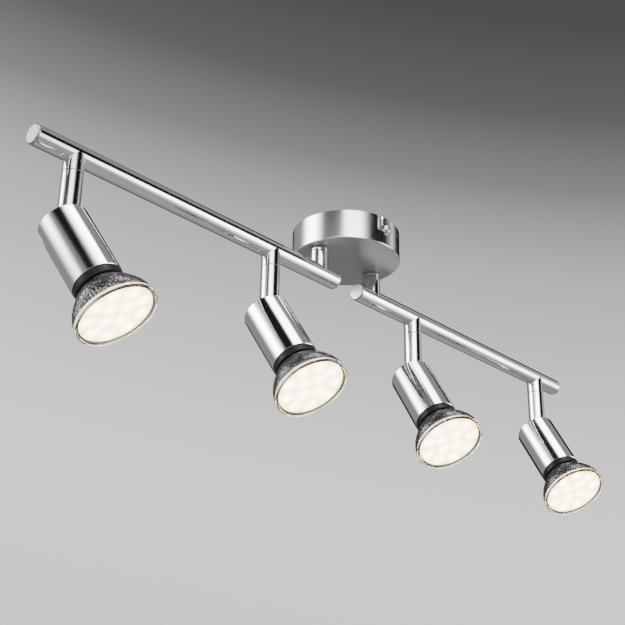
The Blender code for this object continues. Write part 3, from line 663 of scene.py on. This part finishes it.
# ---- Bars and end caps ------------------------------------------------------------------------
# The two arms are straight 13 mm tubes, drilled for the wires and closed by turned caps with a
# chamfer, whose faces are brushed in a ring.
BAR_INNER = 11.5
BAR_LENGTH = 258.5
HEAD_PLACES = {1: -240.0, 2: -76.0, 3: 76.0, 4: 240.0}
bar = spin_outline("bar", [(TUBE_BORE, 1.5), (TUBE - 0.1, 1.5), (TUBE, 1.6)]
                   + [(TUBE, 1.6 + (BAR_LENGTH - 3.2) * n / 6) for n in range(1, 7)]
                   + [(TUBE - 0.1, BAR_LENGTH - 1.5), (TUBE_BORE, BAR_LENGTH - 1.5),
                      (TUBE_BORE, 1.5)], 96)
shape_with(bar, rod(3.4, 8, (-6, 0, ARM_X - BAR_INNER), saddle_turn, 32))
for place in (76.0, 240.0):
    shape_with(bar, rod(3.4, 8, (6, 0, place - BAR_INNER), saddle_turn, 32))
smooth(bar)
end_cap = spin_outline("end_cap", [(0, 0), (TUBE - 0.75, 0), (TUBE - 0.2, 0.3), (TUBE, 0.75),
                                   (TUBE, 1.35), (TUBE - 0.1, 1.45), (5.0, 1.45), (4.9, 6.2),
                                   (4.5, 6.5), (0, 6.5)], 96)
smooth(end_cap, 24)
cap_nickel = plated("cap_nickel", (1500, 1500, 200), (0.44, 0.44, 0.435, 1),
                    (0.36, 0.36, 0.355, 1), 0.30, 0.44, 0.03)
for side, name in ((-1, "left"), (1, "right")):
    along = Matrix.Translation((0, 0, BAR_Z * MM)) @ Matrix.Rotation(side * math.pi / 2, 4, "Y")
    if side < 0:
        along = along @ Matrix.Rotation(math.pi, 4, "Z")
    inner = along @ Matrix.Translation((0, 0, BAR_INNER * MM))
    outer = (along @ Matrix.Translation((0, 0, (BAR_INNER + BAR_LENGTH) * MM))
             @ Matrix.Rotation(math.pi, 4, "X"))
    fit_piece(copy_at(bar, f"{name}_bar_tube", inner), tube_nickel, "satin_nickel", f"{name}_arm",
              f"{name}_bar")
    fit_piece(copy_at(end_cap, f"{name}_inner_end", inner), cap_nickel, "satin_nickel",
              f"{name}_arm", f"{name}_inner_cap")
    fit_piece(copy_at(end_cap, f"{name}_outer_end", outer), cap_nickel, "satin_nickel",
              f"{name}_arm", f"{name}_outer_cap")
bpy.data.objects.remove(bar, do_unlink=True)
bpy.data.objects.remove(end_cap, do_unlink=True)

# ---- Stubs ------------------------------------------------------------------------------------
# Under each head's place a tube stub is brazed to the bar. The flared nipple in its foot carries
# the neck, and a fine line shows where the neck turns.
stub = spin_outline("stub", [
    (TUBE_BORE, BAR_Z), (TUBE, BAR_Z), (TUBE, -54.5), (TUBE - 0.2, -54.7), (4.0, -54.7),
    (4.0, -56.9), (5.0, -56.9), (5.0, -58.1), (2.7, -58.1), (2.7, -53.1), (TUBE_BORE, -53.1),
    (TUBE_BORE, BAR_Z)], 72)
shape_with(stub, rod(TUBE + 0.02, 40, (0, 0, BAR_Z), saddle_turn, 96))
smooth(stub)
for number, place in HEAD_PLACES.items():
    arm = "left_arm" if place < 0 else "right_arm"
    fit_piece(copy_at(stub, f"stub_tube_{number}", Matrix.Translation((place * MM, 0, 0))),
              tube_nickel, "satin_nickel", arm, f"stub_{number}")
bpy.data.objects.remove(stub, do_unlink=True)

# ---- Necks ------------------------------------------------------------------------------------
# Each neck is a 13 mm tube with a lip at its top and a rounded knuckle at its foot, drilled for
# the pin that the head tilts on.
PIVOT_Z = -91.5
neck = spin_outline("neck", [
    (4.3, 36.5), (TUBE - 0.2, 36.5), (TUBE, 36.3), (TUBE, 18), (TUBE, 0)]
    + [(TUBE * math.cos(a), -TUBE * math.sin(a)) for a in (0.15, 0.3, 0.45, 0.6, 0.75, 0.9)]
    + [(4.0, 9.0), (TUBE_BORE, 9.0), (TUBE_BORE, 34.9), (4.3, 34.9), (4.3, 36.5)], 72)
shape_with(neck, rod(1.8, 30, (0, 0, 0), saddle_turn, 32))
smooth(neck)
HEAD_PANS = {1: 30, 2: 8, 3: -8, 4: -12}
HEAD_TILT = 32
neck_turn = {n: Matrix.Translation((HEAD_PLACES[n] * MM, 0, PIVOT_Z * MM))
             @ Matrix.Rotation(math.radians(HEAD_PANS[n]), 4, "Z") for n in HEAD_PLACES}
head_turn = {n: neck_turn[n] @ Matrix.Rotation(math.radians(-HEAD_TILT), 4, "X")
             for n in HEAD_PLACES}
for number in HEAD_PLACES:
    fit_piece(copy_at(neck, f"neck_tube_{number}", neck_turn[number]), tube_nickel, "satin_nickel",
              f"neck_group_{number}", f"neck_{number}")
bpy.data.objects.remove(neck, do_unlink=True)

# ---- Head shells ------------------------------------------------------------------------------
# A head is a 31 mm cup of 1.2 mm steel, plated like the arms. Its top is slotted for the neck, and
# the slot runs down its back so that the head can tilt up to the ceiling.
SHELL = 15.5
shell = spin_outline("shell", [
    (0, 5.5), (14.3, 5.5), (14.76, 5.41), (15.15, 5.15), (15.41, 4.76), (SHELL, 4.3), (SHELL, -18),
    (SHELL, -42.3), (15.3, -42.5), (14.4, -42.5), (14.3, -42.4), (14.3, 4.3), (0, 4.3)], 144)
shape_with(shell, rod(6.9, 20, (0, -5.19, 8), sides=96))
shape_with(shell, slab((13.8, 25.2, 20), (0, 7.41, 8)))
shape_with(shell, rod(6.9, 20, (0, 10, 0), (math.pi / 2, 0, 0), 96))
smooth(shell)
head_nickel = plated("head_nickel", (1300, 1300, 45), NICKEL_COLOUR, (0.72, 0.715, 0.71, 1),
                     0.07, 0.11, 0.001)
for number in HEAD_PLACES:
    fit_piece(copy_at(shell, f"head_cup_{number}", head_turn[number]), head_nickel, "satin_nickel",
              f"head_group_{number}", f"head_shell_{number}")
bpy.data.objects.remove(shell, do_unlink=True)

# ---- Yokes, pins and lamp holders -------------------------------------------------------------
# Inside the shell a zinc-plated yoke holds the tilt pin, and a fired ceramic holder takes the
# lamp's two pins. They keep their plain shapes.
white_ceramic, ceramic_shader = new_finish("white_ceramic", (0.80, 0.78, 0.74, 1), 0.0, 0.35)
ceramic_shader.inputs["Coat Weight"].default_value = 0.3
mould_skin(white_ceramic, ceramic_shader, (0.84, 0.82, 0.78, 1), (0.74, 0.72, 0.67, 1),
           (0.28, 0.5), 0.10)
pin_steel, pin_shader = new_finish("pin_steel", (0.72, 0.72, 0.73, 1), 1.0, 0.25)
mould_skin(pin_steel, pin_shader, (0.76, 0.76, 0.77, 1), (0.60, 0.60, 0.62, 1), (0.18, 0.36), 0.05)
for number in HEAD_PLACES:
    for node, finish in ((f"yoke_{number}", zinc_plate), (f"tilt_pin_{number}", pin_steel),
                         (f"lamp_holder_{number}", white_ceramic),
                         (f"lamp_base_{number}", white_nylon)):
        for mount in bpy.data.objects[node].material_slots:
            mount.material = finish

# ---- Mouth rings ------------------------------------------------------------------------------
# A ring of black heat-proof plastic is pressed into each head's mouth and grips the lamp.
ring = spin_outline("mouth_collar", [
    (13.95, -38.8), (14.05, -39.0), (14.05, -42.8), (15.0, -42.8), (15.2, -43.0), (15.2, -46.7),
    (14.95, -47.15), (14.6, -47.3), (14.15, -47.3), (13.9, -47.0), (13.9, -38.9),
    (13.95, -38.8)], 128)
smooth(ring, 50)
black_plastic, black_shader = new_finish("black_plastic", (0.012, 0.012, 0.013, 1), 0.0, 0.4)
black_shader.inputs["Specular IOR Level"].default_value = 0.14
mould_skin(black_plastic, black_shader, (0.010, 0.010, 0.011, 1), (0.020, 0.020, 0.021, 1),
           (0.36, 0.55), 0.12)
for number in HEAD_PLACES:
    fit_piece(copy_at(ring, f"mouth_collar_{number}", head_turn[number]), black_plastic,
              "black_plastic", f"head_group_{number}", f"mouth_ring_{number}")
bpy.data.objects.remove(ring, do_unlink=True)

# ---- Lamp reflector cups ----------------------------------------------------------------------
# The pressed glass cup of each lamp is silvered inside. Its outer side is covered with rows of
# small pillow facets that glint light and dark like a mosaic. The silver's colour is painted in
# random near-black and grey patches: painted reflections for that mosaic.
CUP_TOP = -47.3
CUP_RIM = -66.1
FACET_ROWS = 11


def cup_radius(height):
    """Outer radius of the cup, which swells from the ring to the rim."""
    return 13.6 + 10.8 * math.sin((CUP_TOP - height) / (CUP_TOP - CUP_RIM) * math.pi / 2)


first_row, last_row = CUP_TOP - 0.4, CUP_RIM + 0.5
rows = [first_row + (last_row - first_row) * n / FACET_ROWS for n in range(FACET_ROWS + 1)]
cup = spin_outline("cup", [(0, -43.4), (13.3, -43.4), (13.6, -43.7), (13.6, CUP_TOP)]
                   + [(cup_radius(z), z) for z in rows]
                   + [(cup_radius(rows[-1]) - 1.0, rows[-1])]
                   + [(cup_radius(z) - 1.0, z) for z in (-62.0, -57.0, -52.0, -48.5)]
                   + [(12.4, CUP_TOP), (0, CUP_TOP)], 72)
for face in cup.data.polygons:
    middle = face.center
    outward = middle.x * face.normal.x + middle.y * face.normal.y > 0
    face.select = rows[0] * MM > middle.z > rows[-1] * MM and outward
for edge in cup.data.edges:
    edge.select = False
for point in cup.data.vertices:
    point.select = False
choose(cup)
bpy.ops.object.mode_set(mode="EDIT")
bpy.ops.mesh.select_mode(type="FACE")
bpy.ops.mesh.poke(offset=0.30 * MM)
bpy.ops.object.mode_set(mode="OBJECT")
smooth(cup, 7)
cup_glass, cup_shader = new_finish("cup_silver", (0.6, 0.62, 0.63, 1), 0.85, 0.12)
cup_shader.inputs["Coat Weight"].default_value = 0.4
cup_shader.inputs["Coat Roughness"].default_value = 0.04
# Painted reflection: a noise paints the silver near black in some patches and grey in others.
glint = add_node(cup_glass, "ShaderNodeTexNoise", Scale=1.0, Detail=3.0, Roughness=0.7)
painted_glint_tone = add_node(cup_glass, "ShaderNodeValToRGB")
painted_glint_tone.color_ramp.elements[0].position = 0.48
painted_glint_tone.color_ramp.elements[0].color = (0.015, 0.017, 0.02, 1)
painted_glint_tone.color_ramp.elements[1].position = 0.66
painted_glint_tone.color_ramp.elements[1].color = (0.40, 0.41, 0.41, 1)
glint_rough = add_node(cup_glass, "ShaderNodeMapRange", To_Min=0.08, To_Max=0.26)
glint_bump = add_node(cup_glass, "ShaderNodeBump", Strength=0.5, Distance=0.0003)
cup_links = cup_glass.node_tree.links
cup_links.new(own_place(cup_glass, (1000, 1000, 1000)), glint.inputs["Vector"])
cup_links.new(glint.outputs["Fac"], painted_glint_tone.inputs["Fac"])
cup_links.new(painted_glint_tone.outputs["Color"], cup_shader.inputs["Base Color"])
cup_links.new(glint.outputs["Fac"], glint_rough.inputs["Value"])
cup_links.new(glint_rough.outputs["Result"], cup_shader.inputs["Roughness"])
cup_links.new(glint.outputs["Fac"], glint_bump.inputs["Height"])
cup_links.new(glint_bump.outputs["Normal"], cup_shader.inputs["Normal"])
for number in HEAD_PLACES:
    fit_piece(copy_at(cup, f"reflector_cup_{number}", head_turn[number]), cup_glass, "cup_glass",
              f"lamp_group_{number}", f"lamp_cup_{number}")
bpy.data.objects.remove(cup, do_unlink=True)

# ---- Lamp rims --------------------------------------------------------------------------------
# The cup ends in a thick clear glass lip, rounded outside, with a step inside that seats the front
# lens.
rim = spin_outline("rim", [
    (22.5, -65.75), (24.3, -65.75), (24.75, -66.0), (25.0, -66.5), (25.0, -67.5), (24.8, -68.0),
    (24.4, -68.3), (24.0, -68.25), (23.75, -67.9), (23.75, -66.7), (23.5, -66.45), (22.6, -66.4),
    (22.4, -66.2), (22.5, -65.75)], 128)
smooth(rim, 50)
clear_glass, glass_shader = new_finish("clear_glass", (0.97, 0.97, 0.94, 1), 0.0, 0.03)
glass_shader.inputs["Transmission Weight"].default_value = 1.0
glass_shader.inputs["IOR"].default_value = 1.47
ripple = add_node(clear_glass, "ShaderNodeTexNoise", Scale=1.0, Detail=2.0)
ripple_bump = add_node(clear_glass, "ShaderNodeBump", Strength=0.10, Distance=0.0004)
ripple_rough = add_node(clear_glass, "ShaderNodeMapRange", To_Min=0.01, To_Max=0.07)
glass_links = clear_glass.node_tree.links
glass_links.new(own_place(clear_glass, (180, 180, 180)), ripple.inputs["Vector"])
glass_links.new(ripple.outputs["Fac"], ripple_bump.inputs["Height"])
glass_links.new(ripple.outputs["Fac"], ripple_rough.inputs["Value"])
glass_links.new(ripple_bump.outputs["Normal"], glass_shader.inputs["Normal"])
glass_links.new(ripple_rough.outputs["Result"], glass_shader.inputs["Roughness"])
for number in HEAD_PLACES:
    fit_piece(copy_at(rim, f"glass_lip_{number}", head_turn[number]), clear_glass, "cup_glass",
              f"lamp_group_{number}")
bpy.data.objects.remove(rim, do_unlink=True)

# ---- LED boards -------------------------------------------------------------------------------
# A white board in each lamp carries nine diodes in a ring and four inside it, under low domes.
# The board glows warm between them.
BOARD_Z = -66.0
OUTER_DIODES = (9, 16.8)
INNER_DIODES = (4, 7.2)
GLOW_REACH = 8.0
board = spin_outline("board", [
    (0, BOARD_Z + 1.0), (22.0, BOARD_Z + 1.0), (22.2, BOARD_Z + 0.8), (22.2, BOARD_Z + 0.15),
    (22.0, BOARD_Z), (15, BOARD_Z), (8, BOARD_Z), (0, BOARD_Z)], 96)
smooth(board)
dome = spin_outline("dome", [(0, 0.05), (2.1, 0.05), (2.1, -0.1), (1.7, -0.42), (1.0, -0.66),
                             (0, -0.75)], 24)
smooth(dome, 50)
ring_light = bpy.data.node_groups.new("diode_glow", "ShaderNodeTree")
glow_in, glow_out = group_sockets(
    ring_light,
    [(name, "NodeSocketFloat") for name in ("X", "Y", "Count", "Ring", "Reach")],
    [("Glow", "NodeSocketFloat")])


def glow_math(operation, *values):
    """One Math node in the glow group."""
    return math_node(ring_light, operation, *values)


way_x, way_y = glow_in.outputs["X"], glow_in.outputs["Y"]
ring_radius, reach = glow_in.outputs["Ring"], glow_in.outputs["Reach"]
step_angle = glow_math("DIVIDE", 2 * math.pi, glow_in.outputs["Count"])
angle = glow_math("ARCTAN2", way_y, way_x)
steps_round = glow_math("ROUND", glow_math("DIVIDE", angle, step_angle))
nearest = glow_math("MULTIPLY", steps_round, step_angle)
diode_x = glow_math("MULTIPLY", ring_radius, glow_math("COSINE", nearest))
diode_y = glow_math("MULTIPLY", ring_radius, glow_math("SINE", nearest))
off_x = glow_math("SUBTRACT", way_x, diode_x)
off_y = glow_math("SUBTRACT", way_y, diode_y)
off = glow_math("SQRT", glow_math("ADD", glow_math("MULTIPLY", off_x, off_x),
                                  glow_math("MULTIPLY", off_y, off_y)))
fade_out = glow_math("SUBTRACT", 1.0, glow_math("MINIMUM", glow_math("DIVIDE", off, reach), 1.0))
ring_light.links.new(glow_math("MULTIPLY", fade_out, fade_out), glow_out.inputs["Glow"])

board_light, board_shader = new_finish("board_light", (0.85, 0.83, 0.78, 1), 0.0, 0.5)
board_shader.inputs["Emission Strength"].default_value = 11.0
board_place = add_node(board_light, "ShaderNodeSeparateXYZ")
board_links = board_light.node_tree.links
board_links.new(own_place(board_light, (1000, 1000, 1000)), board_place.inputs["Vector"])
glows = []
for count, radius in (OUTER_DIODES, INNER_DIODES):
    glow = add_node(board_light, "ShaderNodeGroup")
    glow.node_tree = ring_light
    glow.inputs["Count"].default_value = count
    glow.inputs["Ring"].default_value = radius
    glow.inputs["Reach"].default_value = GLOW_REACH
    board_links.new(board_place.outputs["X"], glow.inputs["X"])
    board_links.new(board_place.outputs["Y"], glow.inputs["Y"])
    glows.append(glow)
both = add_node(board_light, "ShaderNodeMath")
both.operation = "ADD"
board_links.new(glows[0].outputs["Glow"], both.inputs[0])
board_links.new(glows[1].outputs["Glow"], both.inputs[1])
warm = add_node(board_light, "ShaderNodeValToRGB")
warm.color_ramp.elements[0].position = 0.0
warm.color_ramp.elements[0].color = (0.62, 0.42, 0.18, 1)
warm.color_ramp.elements[1].position = 1.0
warm.color_ramp.elements[1].color = (1.0, 1.0, 0.96, 1)
middle_warm = warm.color_ramp.elements.new(0.35)
middle_warm.color = (1.0, 0.80, 0.50, 1)
board_links.new(both.outputs[0], warm.inputs["Fac"])
board_links.new(warm.outputs["Color"], board_shader.inputs["Emission Color"])
dome_light, dome_shader = new_finish("dome_light", (0.95, 0.92, 0.85, 1), 0.0, 0.3)
dome_shader.inputs["Emission Strength"].default_value = 18.0
dome_tint = add_node(dome_light, "ShaderNodeValToRGB")
dome_tint.color_ramp.elements[0].color = (1.0, 0.93, 0.82, 1)
dome_tint.color_ramp.elements[1].color = (1.0, 1.0, 0.97, 1)
dome_cloud = add_node(dome_light, "ShaderNodeTexNoise", Scale=1.0, Detail=1.0)
dome_light.node_tree.links.new(own_place(dome_light, (300, 300, 300)), dome_cloud.inputs["Vector"])
dome_light.node_tree.links.new(dome_cloud.outputs["Fac"], dome_tint.inputs["Fac"])
dome_light.node_tree.links.new(dome_tint.outputs["Color"], dome_shader.inputs["Emission Color"])
diodes = []
for count, radius in (OUTER_DIODES, INNER_DIODES):
    for number in range(count):
        around = 2 * math.pi * number / count
        diodes.append(copy_at(dome, f"diode_{len(diodes)}", Matrix.Translation(
            (radius * math.cos(around) * MM, radius * math.sin(around) * MM, BOARD_Z * MM))))
choose(*diodes)
bpy.ops.object.join()
diode_set = bpy.context.object
bpy.data.objects.remove(dome, do_unlink=True)
for number in HEAD_PLACES:
    fit_piece(copy_at(board, f"diode_board_{number}", head_turn[number]), board_light, "front_lens",
              f"lamp_group_{number}")
    fit_piece(copy_at(diode_set, f"diodes_{number}", head_turn[number]), dome_light, "front_lens",
              f"lamp_group_{number}")
bpy.data.objects.remove(board, do_unlink=True)
bpy.data.objects.remove(diode_set, do_unlink=True)

# ---- Front lenses -----------------------------------------------------------------------------
# A flat clear glass disc with ground edges closes each lamp.
lens = spin_outline("lens", [
    (0, -66.85), (23.2, -66.85), (23.5, -67.1), (23.5, -67.8), (23.2, -68.15), (16, -68.15),
    (8, -68.15), (0, -68.15)], 128)
smooth(lens)
for number in HEAD_PLACES:
    fit_piece(copy_at(lens, f"front_glass_{number}", head_turn[number]), clear_glass, "front_lens",
              f"lamp_group_{number}", f"lamp_lens_{number}")
bpy.data.objects.remove(lens, do_unlink=True)
